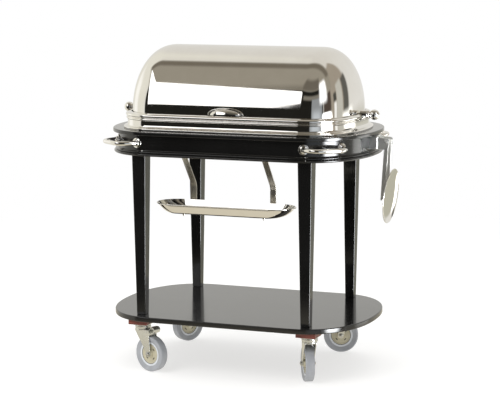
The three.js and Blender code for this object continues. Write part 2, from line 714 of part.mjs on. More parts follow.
/** Two straps hanging from the hinge, joined by a cross plate behind the dish. */
function makeHolderArm() {
  const strap = (side) => {
    const shape = new THREE.Shape();
    const half = HOLDER_STRAP.width / 2;
    const foot = HOLDER_Z - HOLDER_DROP - 16;
    shape.moveTo(HOLDER_X - half, HOLDER_Z);
    shape.lineTo(HOLDER_X - half, foot);
    shape.lineTo(HOLDER_X + half, foot);
    shape.lineTo(HOLDER_X + half, HOLDER_Z);
    shape.absarc(HOLDER_X, HOLDER_Z, half, 0, Math.PI, false);
    return acrossY(shape, HOLDER_STRAP.thickness).translate(0, side * HOLDER_STRAP.y, 0);
  };
  const cross = box(9, 2 * HOLDER_STRAP.y, 32).translate(-GAP - 4.5, 0, 0).rotateY(DISH_TILT);
  cross.translate(DISH_BACK_X, 0, HOLDER_Z - HOLDER_DROP);
  const bore = rod(4 + GAP, 80, 12).translate(HOLDER_X, 0, HOLDER_Z);
  return leaning(cut(join(strap(1), strap(-1), cross), bore));
}

function makeDish() {
  const r = DISH_RADIUS;
  const profile = [
    [0, 0], [r * 0.72, 0], [r - 1, 6], [r, 9], [r - 2.5, 10], [r - 5, 7.5], [r * 0.7, 2], [0, 2],
  ];
  const dish = turned(profile, 28).rotateY(Math.PI / 2 + DISH_TILT);
  return leaning(dish.translate(DISH_BACK_X, 0, HOLDER_Z - HOLDER_DROP));
}

// ---------------------------------------------------------------- assembly

makeCarriage();
makeBead();
CASTORS.forEach(makeCastor);

place('pan_frame', makeFrame(), SILVER);
for (const [name, side] of [['left', -1], ['right', 1]]) {
  place(`pivot_bracket_${name}`, makePivotBracket(side), SILVER);
  place(`pivot_knob_${name}`, makePivotKnob(side), SILVER);
  place(`tray_hanger_${name}`, makeHanger(side), SILVER);
}
makeFittings();
place('lid', makeDome(), SILVER);
place('lid_pull', makePull(), SILVER);
for (const { name, x, y } of CORNERS) place(`handle_${name}`, makeHandle(x, y), SILVER);
place('tray', makeTray(), SILVER);
place('plate_bracket', makeHolderBracket(), SILVER);
place('plate_pin', makeHolderPin(), SILVER);
place('plate_arm', makeHolderArm(), SILVER);
place('plate_dish', makeDish(), SILVER);

const outline = new THREE.Box3().setFromObject(trolley);
trolley.position.x = -(outline.min.x + outline.max.x) / 2;

export default trolley;
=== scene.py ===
"""Roll-top carving trolley: smooth pieces, finishes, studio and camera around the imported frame."""
import json
import math

import bmesh
import bpy
from mathutils import Matrix, Vector


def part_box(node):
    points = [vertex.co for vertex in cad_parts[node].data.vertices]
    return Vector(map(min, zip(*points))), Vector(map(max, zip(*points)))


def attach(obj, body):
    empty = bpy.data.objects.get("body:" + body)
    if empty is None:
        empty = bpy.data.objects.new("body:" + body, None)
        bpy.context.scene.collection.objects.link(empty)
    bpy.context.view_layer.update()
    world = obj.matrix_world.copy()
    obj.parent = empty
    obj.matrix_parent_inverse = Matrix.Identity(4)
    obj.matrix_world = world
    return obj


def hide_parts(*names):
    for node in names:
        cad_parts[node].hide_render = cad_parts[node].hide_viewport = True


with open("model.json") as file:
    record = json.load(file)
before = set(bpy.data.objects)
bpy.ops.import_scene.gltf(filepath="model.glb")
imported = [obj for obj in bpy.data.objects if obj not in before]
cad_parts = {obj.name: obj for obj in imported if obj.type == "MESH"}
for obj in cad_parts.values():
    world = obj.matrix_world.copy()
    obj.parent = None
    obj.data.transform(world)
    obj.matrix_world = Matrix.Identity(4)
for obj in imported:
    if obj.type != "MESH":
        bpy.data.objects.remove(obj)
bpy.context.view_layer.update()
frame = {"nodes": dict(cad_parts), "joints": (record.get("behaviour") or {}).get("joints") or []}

TURN = math.tau
SIDES = ("fl", "fr", "bl", "br")
JOINTS = {joint["name"]: joint for joint in frame["joints"]}


# ------------------------------------------------------------------ places in the frame

def middle(node):
    low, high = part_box(node)
    return (low + high) / 2


SHELF_LOW, SHELF_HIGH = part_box("shelf")
BOARD_LOW, BOARD_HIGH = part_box("top_board")
APRON_LOW, APRON_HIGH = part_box("apron")
FRAME_LOW, FRAME_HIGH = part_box("pan_frame")
CENTRE_X = middle("shelf").x
PIVOT = Vector(JOINTS["lid_roll"]["pos_m"])

# Outlines seen from above: half the straight side, reach of the round end beyond it, half depth, and the
# power of the superellipse that rounds the ends.
CARRIAGE = {"straight": 0.252, "end": SHELF_HIGH.x - CENTRE_X - 0.252, "depth": SHELF_HIGH.y, "power": 2.24}
DOME = {"straight": 0.266, "end": 0.138, "depth": 0.228, "power": 2.31}
OPENING = {"straight": 0.266, "end": 0.142, "depth": 0.232, "power": 2.31}
FRAME_FACE = {"straight": 0.266, "end": 0.152, "depth": 0.256, "power": 2.3}
APRON_FACE = {"straight": 0.252, "end": 0.201, "depth": 0.297, "power": 2.24}
# Handle: where its feet stand along X, how far it bows out beyond the line between them, radius of its bar.
HANDLE = {"feet": (0.300, 0.405), "reach": 0.071, "bar": 0.0076}
# Degrees by which the plate holder hangs inwards, and its dish is tipped further.
HOLDER_LEAN = 3.5
DISH_TILT = 2.5
# Camera: degrees round from the guest side, up, and of roll; lens in mm; its place from the trolley's middle.
CAMERA = {"azimuth": 20.18, "elevation": 8.5, "roll": -0.1, "lens": 122.17, "from": (2.0527, -5.5739, 1.4699)}


# ------------------------------------------------------------------ mesh helpers

def oval(spec, grow=0.0, steps=44):
    """Outline of straight sides joined by superelliptic ends, anticlockwise."""
    points = []
    for side in (1, -1):
        for i in range(steps + 1):
            angle = math.pi * (i / steps - 0.5)
            along = abs(math.cos(angle)) ** (2 / spec["power"])
            across = math.copysign(abs(math.sin(angle)) ** (2 / spec["power"]), math.sin(angle))
            x = spec["straight"] + (spec["end"] + grow) * along
            points.append((side * x, side * (spec["depth"] + grow) * across))
    return points


def oval_depth(spec, x):
    t = max(0.0, abs(x) - spec["straight"]) / spec["end"]
    return spec["depth"] * max(0.0, 1 - t ** spec["power"]) ** (1 / spec["power"])


def skin(rows, ring=False, caps=True):
    """Quads between rows of points, each row closed on itself. A ring joins the last row to the first."""
    count = len(rows[0])
    verts = [tuple(point) for row in rows for point in row]
    faces = []
    for r in range(len(rows) if ring else len(rows) - 1):
        a, b = r * count, ((r + 1) % len(rows)) * count
        for i in range(count):
            j = (i + 1) % count
            faces.append((a + i, a + j, b + j, b + i))
    if caps and not ring:
        faces.append(tuple(reversed(range(count))))
        faces.append(tuple((len(rows) - 1) * count + i for i in range(count)))
    return verts, faces


def ovals(spec, profile, steps=44):
    """Rows of points for skin: profile is (reach beyond the outline, height) pairs."""
    return [[(x, y, z) for x, y in oval(spec, reach, steps)] for reach, z in profile]


def loft(spec, profile, ring=False, steps=44):
    return skin(ovals(spec, profile, steps), ring)


def lathe(profile, segments=48, closed=False):
    """Surface of revolution about Z from (radius, height) pairs."""
    rows = []
    for radius, z in profile:
        radius = max(radius, 1e-6)
        angles = [TURN * i / segments for i in range(segments)]
        rows.append([(radius * math.cos(a), radius * math.sin(a), z) for a in angles])
    return skin(rows, ring=closed, caps=False)


def arc(cx, cy, radius, start, end, steps=8):
    """Points of an arc in a profile; angles in degrees."""
    points = []
    for i in range(steps + 1):
        a = math.radians(start + (end - start) * i / steps)
        points.append((cx + radius * math.cos(a), cy + radius * math.sin(a)))
    return points


def rounded_box(half_x, half_y, radius, steps):
    """Outline of a rectangle about the origin with round corners."""
    points = []
    for cx, cy, start in ((1, -1, -90), (1, 1, 0), (-1, 1, 90), (-1, -1, 180)):
        points += arc(cx * (half_x - radius), cy * (half_y - radius), radius, start, start + 90, steps)
    return points


def mirrored(profile):
    """A lathe profile given for one side of z = 0, with its mirror image added."""
    return profile + [(radius, -z) for radius, z in reversed(profile)]


def merge(*parts):
    """One vertex and face list from several."""
    verts, faces = [], []
    for part_verts, part_faces in parts:
        base = len(verts)
        verts.extend(part_verts)
        faces.extend(tuple(base + i for i in face) for face in part_faces)
    return verts, faces


def moved(part, matrix):
    verts, faces = part
    return [tuple(matrix @ Vector(v)) for v in verts], faces


def shift(x, y, z):
    return Matrix.Translation((x, y, z))


def turn(angle, axis):
    return Matrix.Rotation(math.radians(angle), 4, axis)


def tube(path, radius, sides):
    """Round bar along a list of points, its frame carried along without twist."""
    path = [Vector(p) for p in path]
    tangents = []
    for i in range(len(path)):
        before, after = path[max(0, i - 1)], path[min(len(path) - 1, i + 1)]
        tangents.append((after - before).normalized())
    up = Vector((0, 0, 1))
    if abs(tangents[0].dot(up)) > 0.9:
        up = Vector((1, 0, 0))
    normal = (up - tangents[0] * up.dot(tangents[0])).normalized()
    angles = [TURN * i / sides for i in range(sides)]
    rows = []
    for point, tangent in zip(path, tangents):
        normal = (normal - tangent * normal.dot(tangent)).normalized()
        side = tangent.cross(normal)
        rows.append([tuple(point + normal * (radius * math.cos(a)) + side * (radius * math.sin(a)))
                     for a in angles])
    return skin(rows)


def spline(points, steps=8):
    """Catmull-Rom points through a list of points."""
    points = [Vector(p) for p in points]
    padded = [2 * points[0] - points[1], *points, 2 * points[-1] - points[-2]]
    path = []
    for k in range(1, len(padded) - 2):
        p0, p1, p2, p3 = padded[k - 1:k + 3]
        for i in range(steps):
            t = i / steps
            path.append(0.5 * (2 * p1 + (p2 - p0) * t + (2 * p0 - 5 * p1 + 4 * p2 - p3) * t * t
                               + (3 * p1 - p0 - 3 * p2 + p3) * t ** 3))
    path.append(points[-1])
    return path


def rounded(points, radius, steps=5):
    """A 2D polyline with its inner corners rounded."""
    out = [points[0]]
    for i in range(1, len(points) - 1):
        a, b, c = (Vector(points[i + k]) for k in (-1, 0, 1))
        into, away = (a - b).normalized(), (c - b).normalized()
        cut = min(radius, (a - b).length / 2.1, (c - b).length / 2.1)
        start, end = b + into * cut, b + away * cut
        for k in range(steps + 1):
            t = k / steps
            out.append(tuple((1 - t) ** 2 * start + 2 * t * (1 - t) * b + t * t * end))
    out.append(points[-1])
    return out


def ribbon(points, width, thickness):
    """Flat strap: a 2D line of points in (y, z), extruded along X, with even thickness."""
    normals = []
    for i in range(len(points)):
        before, after = Vector(points[max(0, i - 1)]), Vector(points[min(len(points) - 1, i + 1)])
        along = (after - before).normalized()
        normals.append(Vector((-along.y, along.x)))
    half = width / 2
    rows = []
    for point, normal in zip(points, normals):
        near, far = Vector(point) - normal * thickness / 2, Vector(point) + normal * thickness / 2
        rows.append([(-half, near.x, near.y), (half, near.x, near.y),
                     (half, far.x, far.y), (-half, far.x, far.y)])
    return skin(rows)


def slab(x, y, z):
    """Box of that size about the origin."""
    corners = [(-x / 2, -y / 2), (x / 2, -y / 2), (x / 2, y / 2), (-x / 2, y / 2)]
    return skin([[(cx, cy, h) for cx, cy in corners] for h in (-z / 2, z / 2)])


def prism(outline, thickness):
    """A 2D outline in (x, z) given thickness along Y, about y = 0."""
    return skin([[(x, side * thickness / 2, z) for x, z in outline] for side in (-1, 1)])


def piece(name, part, material, body, replaces="", angle=32, bevel=0.0, at=None):
    """A mesh object riding on a body; angle is its sharp-edge angle, at its place in the frame."""
    verts, faces = part
    mesh = bpy.data.meshes.new(name)
    place = at if at is not None else shift(CENTRE_X, 0, 0)
    mesh.from_pydata([tuple(place @ Vector(v)) for v in verts], [], faces)
    clean(mesh)
    mesh.polygons.foreach_set("use_smooth", [True] * len(mesh.polygons))
    mesh.set_sharp_from_angle(angle=math.radians(angle))
    mesh.materials.append(material)
    made = bpy.data.objects.new(name, mesh)
    bpy.context.scene.collection.objects.link(made)
    if bevel:
        edge = made.modifiers.new("Edges", "BEVEL")
        edge.width = bevel
        edge.segments = 3
        edge.limit_method = "ANGLE"
        edge.angle_limit = math.radians(40)
        edge.use_clamp_overlap = True
    normals = made.modifiers.new("Normals", "WEIGHTED_NORMAL")
    normals.keep_sharp = not bevel
    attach(made, body)
    if replaces:
        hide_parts(replaces)


def clean(mesh):
    """Merges doubled points and turns every face outwards."""
    work = bmesh.new()
    work.from_mesh(mesh)
    bmesh.ops.remove_doubles(work, verts=work.verts, dist=3e-6)
    bmesh.ops.dissolve_degenerate(work, edges=work.edges, dist=1e-7)
    bmesh.ops.recalc_face_normals(work, faces=work.faces)
    work.to_mesh(mesh)
    work.free()


# ------------------------------------------------------------------ finishes

def add(tree, kind, inputs=None, **settings):
    """A shader node; an input that is a socket is linked, anything else is its value."""
    made = tree.nodes.new("ShaderNode" + kind)
    for key, value in settings.items():
        setattr(made, key, value)
    for key, value in (inputs or {}).items():
        if isinstance(value, bpy.types.NodeSocket):
            tree.links.new(value, made.inputs[key])
        else:
            made.inputs[key].default_value = value
    return made


def place_nodes(tree, stretch=(1, 1, 1)):
    coords = add(tree, "TexCoord").outputs["Object"]
    return add(tree, "Mapping", {"Vector": coords, "Scale": stretch}).outputs["Vector"]


def noise(tree, scale, stretch=(1, 1, 1), detail=4.0, rough=0.5, distortion=0.0):
    vector = place_nodes(tree, stretch)
    return add(tree, "TexNoise", {"Vector": vector, "Scale": scale, "Detail": detail, "Roughness": rough,
                                  "Distortion": distortion}).outputs["Fac"]


def ramp(tree, factor, stops, interpolation="LINEAR"):
    """Colour ramp; stops are (position, colour) with colour a grey or an rgb."""
    made = add(tree, "ValToRGB", {"Fac": factor})
    made.color_ramp.interpolation = interpolation
    elements = made.color_ramp.elements
    while len(elements) > 1:
        elements.remove(elements[-1])
    for i, (position, colour) in enumerate(stops):
        element = elements[0] if i == 0 else elements.new(position)
        element.position = position
        rgb = (colour,) * 3 if isinstance(colour, (int, float)) else colour
        element.color = (*rgb, 1)
    return made.outputs["Color"]


def scaled(tree, value, low, high):
    """Maps low-high to 0-1."""
    return add(tree, "MapRange", {"Value": value, "From Min": low, "From Max": high}).outputs["Result"]


def spread(tree, factor, low, high):
    """Maps 0.3-0.7 of a noise to low-high."""
    return add(tree, "MapRange", {"Value": factor, "From Min": 0.3, "From Max": 0.7,
                                  "To Min": low, "To Max": high}).outputs["Result"]


def mixed(tree, factor, first, second, blend="MIX"):
    """Colour mix; the colour sockets of the Mix node are its seventh and eighth."""
    return add(tree, "Mix", {0: factor, 6: first, 7: second}, data_type="RGBA", blend_type=blend).outputs[2]


def bump(tree, height, strength, distance):
    inputs = {"Height": height, "Strength": strength, "Distance": distance}
    return add(tree, "Bump", inputs).outputs["Normal"]


def finish_of(name, **sockets):
    material = bpy.data.materials.new(name)
    material.use_nodes = True
    shader = material.node_tree.nodes["Principled BSDF"]
    for key, value in sockets.items():
        shader.inputs[key.replace("_", " ")].default_value = value
    return material, material.node_tree, shader


def link(tree, shader, **sockets):
    for key, value in sockets.items():
        tree.links.new(value, shader.inputs[key.replace("_", " ")])


def make_lacquer():
    material, tree, shader = finish_of("black_lacquer", IOR=1.5, Coat_Weight=0.4, Coat_Roughness=0.04)
    grain = noise(tree, 9, (1.2, 26, 26), detail=6, rough=0.6)
    clouds = noise(tree, 5)
    colour = ramp(tree, clouds, [(0.3, (0.0052, 0.0050, 0.0048)), (0.7, (0.0085, 0.0082, 0.0078))])
    rough = add(tree, "Math", {0: spread(tree, grain, 0.10, 0.19), 1: spread(tree, clouds, -0.02, 0.03)},
                operation="ADD").outputs[0]
    link(tree, shader, Base_Color=colour, Roughness=rough, Normal=bump(tree, grain, 0.12, 0.0002))
    return material


def make_silver():
    material, tree, shader = finish_of("silver_plate", Metallic=1.0)
    smudge = noise(tree, 14, detail=5, rough=0.6)
    ripple = noise(tree, 7, detail=2)
    colour = ramp(tree, smudge, [(0.3, (0.90, 0.875, 0.835)), (0.7, (0.94, 0.92, 0.885))])
    link(tree, shader, Base_Color=colour, Roughness=spread(tree, smudge, 0.025, 0.065),
         Normal=bump(tree, ripple, 0.05, 0.0006))
    return material


def make_metal(name, dark, light, rough, brush, tone, relief):
    """Worn metal: brush is the scale and stretch of its marks, tone the scale of its colour patches,
    relief the strength and distance of its bump."""
    material, tree, shader = finish_of(name, Metallic=1.0)
    marks = noise(tree, *brush, detail=5)
    colour = ramp(tree, noise(tree, tone), [(0.3, dark), (0.7, light)])
    link(tree, shader, Base_Color=colour, Roughness=spread(tree, marks, *rough),
         Normal=bump(tree, marks, *relief))
    return material


def make_mahogany():
    material, tree, shader = finish_of("mahogany_stain", Coat_Weight=0.15, Coat_Roughness=0.3)
    grain = noise(tree, 22, (1, 9, 9), detail=6, rough=0.65, distortion=0.6)
    colour = ramp(tree, grain, [(0.3, (0.075, 0.014, 0.008)), (0.5, (0.17, 0.038, 0.024)),
                                (0.7, (0.28, 0.075, 0.05))])
    link(tree, shader, Base_Color=colour, Roughness=spread(tree, grain, 0.55, 0.35),
         Normal=bump(tree, grain, 0.2, 0.0004))
    return material


def make_maple():
    material, tree, shader = finish_of("oiled_maple")
    grain = noise(tree, 10, (1.5, 22, 22), detail=7, rough=0.6, distortion=0.8)
    staves = add(tree, "TexWave", {"Vector": place_nodes(tree), "Scale": 3.6, "Distortion": 0.0},
                 bands_direction="Y").outputs["Fac"]
    wood = ramp(tree, grain, [(0.3, (0.40, 0.22, 0.10)), (0.55, (0.56, 0.34, 0.17)),
                              (0.7, (0.66, 0.44, 0.24))])
    shade = ramp(tree, staves, [(0.0, 0.8), (0.12, 1.0), (0.88, 1.0), (1.0, 0.86)])
    colour = mixed(tree, 1.0, wood, shade, "MULTIPLY")
    link(tree, shader, Base_Color=colour, Roughness=spread(tree, grain, 0.42, 0.6),
         Normal=bump(tree, grain, 0.25, 0.0004))
    return material


def make_plastic(name, light, dark, low, high):
    material, tree, shader = finish_of(name)
    cloud = noise(tree, 30, detail=5)
    grit = noise(tree, 600, detail=2)
    link(tree, shader, Base_Color=ramp(tree, cloud, [(0.3, dark), (0.7, light)]),
         Roughness=spread(tree, cloud, low, high), Normal=bump(tree, grit, 0.15, 0.0001))
    return material


LACQUER = make_lacquer()
SILVER = make_silver()
# Satin silver for the tray straps; its warm brown tint is painted reflection, standing in for the brown room
# the straps mirror.
STRAP = make_metal("satin_silver_painted_brown_reflection", (0.66, 0.61, 0.52), (0.80, 0.77, 0.69), (0.26, 0.4),
                   (30, (6, 6, 1)), 8, (0.1, 0.0003))
SATIN = make_metal("soft_silver", (0.86, 0.86, 0.84), (0.94, 0.94, 0.92), (0.42, 0.55),
                   (30, (6, 6, 1)), 8, (0.1, 0.0003))
STEEL = make_metal("satin_steel", (0.60, 0.60, 0.585), (0.68, 0.68, 0.665), (0.2, 0.34),
                   (40, (1, 14, 14)), 9, (0.1, 0.0002))
ZINC = make_metal("zinc_plating", (0.68, 0.70, 0.69), (0.82, 0.83, 0.82), (0.16, 0.3),
                  (60, (1, 1, 1)), 12, (0.08, 0.0003))
MAHOGANY = make_mahogany()
MAPLE = make_maple()
CREAM = make_plastic("cream_moulding", (0.60, 0.555, 0.41), (0.50, 0.455, 0.32), 0.35, 0.5)
TYRE = make_plastic("grey_tyre", (0.42, 0.43, 0.45), (0.34, 0.35, 0.37), 0.45, 0.65)
RING = make_plastic("pale_ring", (0.74, 0.76, 0.78), (0.66, 0.68, 0.70), 0.3, 0.45)
DARK = make_plastic("dark_seal_and_slot_shade", (0.02, 0.02, 0.02), (0.012, 0.012, 0.012), 0.4, 0.6)


# ------------------------------------------------------------------ wooden carriage

def board_profile(low, high):
    """Side of a board from under its edge to over it; the inset rows keep its flat faces flat."""
    edge, step, inset = 0.003, 0.0005, 0.02
    side = [(-inset, low), (-edge - step, low)]
    side += arc(-edge, low + edge, edge, -90, 0, 5)
    side += arc(-edge, high - edge, edge, 0, 90, 5)
    return side + [(-edge - step, high), (-inset, high)]


def make_carriage():
    shelf = loft(CARRIAGE, board_profile(SHELF_LOW.z, SHELF_HIGH.z), steps=48)
    piece("shelf_panel", shelf, LACQUER, "carriage", "shelf")
    inside = [(0.006, BOARD_HIGH.z), (0.003, BOARD_HIGH.z - 0.001),
              (0.003, BOARD_LOW.z + 0.001), (0.006, BOARD_LOW.z)]
    board = ovals(CARRIAGE, board_profile(BOARD_LOW.z, BOARD_HIGH.z), 48) + ovals(OPENING, inside, 48)
    piece("top_panel", skin(board, ring=True), LACQUER, "carriage", "top_board")
    wall = 0.018
    band = [(-wall, APRON_LOW.z), (0, APRON_LOW.z), (0, APRON_HIGH.z), (-wall, APRON_HIGH.z)]
    piece("apron_band", loft(APRON_FACE, band, ring=True), LACQUER, "carriage", "apron")
    # a thick round bead, a thin one above it, and a cove up to the apron's face
    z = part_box("apron_bead")[0].z
    steps = [(0.0003, z), (0.0105, z), *arc(0.0105, z + 0.0045, 0.0045, -90, 70, 8)]
    steps += [(0.0105, z + 0.0092), *arc(0.0068, z + 0.0128, 0.0032, -70, 90, 7)]
    steps += [(0.0052, z + 0.0163), (0.0034, z + 0.0172), (0.002, z + 0.0188)]
    steps += [(0.0014, z + 0.0200), (0.0003, z + 0.0200)]
    piece("apron_moulding", loft(APRON_FACE, steps, ring=True), LACQUER, "carriage", "apron_bead")


def make_leg(side):
    low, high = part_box("leg_" + side)
    centre = middle("leg_" + side)
    foot, top, tenon = 0.016, (high.x - low.x) / 2, 0.018
    shoulder = APRON_LOW.z - 0.0003
    levels = ((low.z, foot - 0.001), (low.z + 0.001, foot), (shoulder, top),
              (shoulder, tenon), (high.z, tenon))
    rows = [[(x, y, z) for x, y in rounded_box(half, half, 0.0022, 4)] for z, half in levels]
    piece("post_" + side, skin(rows), LACQUER, "carriage", "leg_" + side, angle=28,
          at=shift(centre.x, centre.y, 0))


# ------------------------------------------------------------------ castors

def castor_frame(side):
    """Place of a castor: its swivel axis on the floor, X towards the trailing wheel."""
    swivel = Vector(JOINTS["castor_swivel_" + side]["pos_m"])
    wheel = Vector(JOINTS["wheel_spin_" + side]["pos_m"])
    trail = wheel - swivel
    heading = math.degrees(math.atan2(trail.y, trail.x))
    return shift(swivel.x, swivel.y, 0) @ turn(heading, "Z"), math.hypot(trail.x, trail.y), wheel.z


def cheek_outline(trail, axle, top):
    """Side of the fork: down its front edge, round the axle and up its back edge."""
    front = [(-0.020, 0.141), (trail - 0.013, axle + 0.012), (trail - 0.0108, axle)]
    back = [(trail + 0.011, axle), (trail + 0.0085, 0.085), (trail + 0.006, 0.110), (0.0455, 0.130)]
    outline = [(-0.0195, top), front[0], *rounded(front, 0.03, 6)[1:-1]]
    outline += arc(trail, axle, 0.011, 180, 360, 18)
    return outline + [*rounded(back, 0.02, 5)[1:], (0.0455, top)]


def make_castor(side):
    place, trail, axle = castor_frame(side)
    castor = "castor_" + side
    low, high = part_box("castor_pad_" + side)
    piece("pad_" + side, slab(*(high - low)), MAHOGANY, "carriage", "castor_pad_" + side,
          bevel=0.0018, at=shift(*middle("castor_pad_" + side)))

    # plate, swivel race and four bolt heads
    low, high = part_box("castor_plate_" + side)
    half_x, half_y = (high - low).x / 2, (high - low).y / 2
    foot, top = low.z, high.z
    parts = [moved(slab((high - low).x, (high - low).y, 0.003), shift(0, 0, top - 0.0015))]
    race = [(0.0, foot), (0.0255, foot), *arc(0.0255, foot + 0.0022, 0.0022, -90, 0, 4)]
    race += [(0.0280, foot + 0.0080), (0.0252, foot + 0.0095), (0.0252, foot + 0.0110)]
    race += [(0.0274, foot + 0.0125), (0.0274, top - 0.003), (0, top - 0.003)]
    parts.append(lathe(race, 40))
    head = lathe([(0, 0), (0.0048, 0), (0.0055, 0.0012), (0.0055, 0.0032), (0, 0.0032)], 6)
    for sx in (-1, 1):
        for sy in (-1, 1):
            parts.append(moved(head, shift(sx * (half_x - 0.009), sy * (half_y - 0.009), top - 0.0062)))
    piece("plate_" + side, merge(*parts), ZINC, "carriage", "castor_plate_" + side, bevel=0.0006,
          at=shift(low.x + half_x, low.y + half_y, 0))

    # fork: two cheeks, bridge and crown
    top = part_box("castor_fork_" + side)[1].z
    outline = cheek_outline(trail, axle, top - 0.003)
    parts = [moved(prism(outline, 0.003), shift(0, s * 0.019, 0)) for s in (-1, 1)]
    parts.append(moved(slab(0.062, 0.038, 0.004), shift(0.010, 0, top - 0.003)))
    crown = [(0, top - 0.009), (0.019, top - 0.009), (0.0245, top - 0.006)]
    crown += [*arc(0.0225, top - 0.002, 0.002, 0, 90, 3), (0, top)]
    parts.append(lathe(crown, 40))
    piece("fork_" + side, merge(*parts), ZINC, castor, "castor_fork_" + side, bevel=0.0008, at=place)

    # axle with a hexagonal nut at each end
    nut = [(0, 0), (0.0075, 0), (0.0086, 0.0008), (0.0086, 0.0042), (0.0076, 0.005), (0.0045, 0.0052),
           (0.0042, 0.0068), (0.003, 0.0074), (0, 0.0074)]
    rod = mirrored([(0, -0.0225), (0.0048, -0.0225)])
    parts = [moved(lathe(nut, 6), shift(trail, 0.0205, axle) @ turn(-90, "X")),
             moved(lathe(nut, 6), shift(trail, -0.0205, axle) @ turn(90, "X")),
             moved(lathe(rod, 24), shift(trail, 0, axle) @ turn(90, "X"))]
    piece("axle_" + side, merge(*parts), STEEL, castor, "castor_axle_" + side, bevel=0.0003,
          at=place)
    make_wheel(side, place @ shift(trail, 0, axle) @ turn(90, "X"))


def make_wheel(side, place):
    """Tyre, pale rim, dark seal and cream hub, each one half of a profile and its mirror image."""
    wheel = "wheel_" + side
    half = 0.016
    tread = [(0.0433, half - 0.0042), (0.0470, half - 0.0032), *arc(0.0575, half - 0.0050, 0.0050, 90, 10, 8),
             (0.0625, 0.004)]
    rim = [(0.0362, half - 0.0052), (0.0375, half - 0.0044), (0.0425, half - 0.0040), (0.0432, half - 0.0050)]
    seal = [(0.0345, half - 0.0068), (0.0363, half - 0.0060)]
    disc = [(0.0055, half + 0.0008), (0.0110, half + 0.0008), (0.0122, half - 0.0004),
            (0.0140, half - 0.0075), (0.0160, half - 0.0088), (0.0300, half - 0.0088),
            (0.0318, half - 0.0068), (0.0346, half - 0.0064)]
    tread, rim = (lathe(mirrored(profile), 96, closed=True) for profile in (tread, rim))
    seal, disc = (lathe(mirrored(profile), 72, closed=True) for profile in (seal, disc))
    piece("tyre_" + side, tread, TYRE, wheel, "wheel_tyre_" + side, at=place)
    piece("rim_" + side, rim, RING, wheel, "wheel_hub_" + side, at=place)
    piece("seal_" + side, seal, DARK, wheel, at=place)
    piece("hub_" + side, disc, CREAM, wheel, at=place)
    # Dark plates laid on each hub face: painted shade standing in for the hollows of the slots.
    slot_shades = []
    for k in range(4):
        for face in (-1, 1):
            slot_shade = slab(0.0032, 0.0095, 0.0012)
            slot_shades.append(moved(slot_shade, turn(45 + 90 * k, "Z") @ shift(0.0222, 0, face * (half - 0.0086))))
    piece("slots_" + side, merge(*slot_shades), DARK, wheel, bevel=0.0003, at=place)


def make_pedal(side):
    """Lever that curls up and back into a foot loop, on its cross pin."""
    place = castor_frame(side)[0]
    x, z = 0.031, 0.138
    curl = [(x, z), (x + 0.017, z - 0.002), (x + 0.031, z + 0.002), (x + 0.036, z + 0.012),
            (x + 0.029, z + 0.020), (x + 0.017, z + 0.020)]
    lever = moved(ribbon(rounded(curl, 0.009, 6), 0.032, 0.0038), turn(-90, "Z"))
    pin = lathe(mirrored([(0, -0.0215), (0.0026, -0.0215), (0.003, -0.0210)]), 20)
    part = merge(lever, moved(pin, shift(x, 0, z) @ turn(90, "X")))
    piece("pedal_lever_" + side, part, ZINC, "pedal_" + side, "brake_pedal_" + side, bevel=0.0006,
          at=place)


# ------------------------------------------------------------------ silver pan frame, dome and pivots

def make_frame():
    """Moulded rim from its foot bead over a cove, a thin bead and a thick one to the opening."""
    low, top = FRAME_HIGH.z - 0.0547, FRAME_HIGH.z
    outside = [(0.0100, FRAME_LOW.z), (0.0113, FRAME_LOW.z), *arc(0.0113, low + 0.0027, 0.0027, -90, 90, 9)]
    outside += [(0.0085, low + 0.0058), (0.0045, low + 0.0075), (0.0015, low + 0.0105)]
    outside += [(0.0004, low + 0.0140), (0.0, low + 0.0170)]
    outside += [(0.0, low + 0.0296), *arc(0.0002, low + 0.0344, 0.0042, -90, 90, 10)]
    outside += [(0.0, low + 0.0390), (-0.0002, low + 0.0402)]
    outside += arc(0.0000, low + 0.0467, 0.0060, -90, 78, 12)
    outside += [(-0.0008, low + 0.0536), (-0.0030, top), (-0.0100, top)]
    inside = [(0.0010, top), (0.0, top - 0.001), (0.0, FRAME_LOW.z)]
    rows = ovals(FRAME_FACE, outside, 52) + ovals(OPENING, inside, 52)
    piece("silver_frame", skin(rows, ring=True), SILVER, "carriage", "pan_frame")


def make_dome():
    """Half-turned shell with superelliptic ends, open along its rim, with bored eyes in its ends."""
    wall, bore, eye_x = 0.002, 0.0066, 0.401
    across, steps = 60, 40
    straight, end, depth = (DOME[key] for key in ("straight", "end", "depth"))
    ends = []
    for i in range(steps + 1):
        t = i / steps
        angle = math.pi / 2 * t
        radius = math.sin(angle) ** (2 / DOME["power"])
        along = math.cos(angle) ** (2 / DOME["power"])
        ends.append((radius, along))
    profile = []
    for inset, direction in ((0.0, 1), (wall, -1)):
        line = [(-(straight + (end - inset) * along), (depth - inset) * radius) for radius, along in ends]
        line += [(-x, r) for x, r in reversed(line)]
        profile += line[::direction]
    profile = [(x, max(r, bore)) for x, r in profile]
    count = len(profile)
    verts, faces = [], []
    for k in range(across + 1):
        a = math.pi * k / across
        for x, r in profile:
            verts.append((x, -r * math.cos(a), PIVOT.z + r * math.sin(a)))
    for k in range(across):
        for i in range(count):
            j = (i + 1) % count
            faces.append((k * count + i, k * count + j, (k + 1) * count + j, (k + 1) * count + i))
    for start in (0, across * count):
        for i in range(count // 2 - 1):
            faces.append((start + i, start + i + 1, start + count - 2 - i, start + count - 1 - i))
    eye = [(bore, -0.002), (0.015, -0.002), *arc(0.0148, -0.0008, 0.0012, -90, 0, 3),
           *arc(0.0148, 0.0008, 0.0012, 0, 90, 3), (bore, 0.002)]
    eyes = [moved(lathe(eye, 48, closed=True), shift(s * eye_x, 0, PIVOT.z) @ turn(90, "Y")) for s in (-1, 1)]
    piece("dome_shell", merge((verts, faces), *eyes), SILVER, "lid_body", "lid", angle=40)


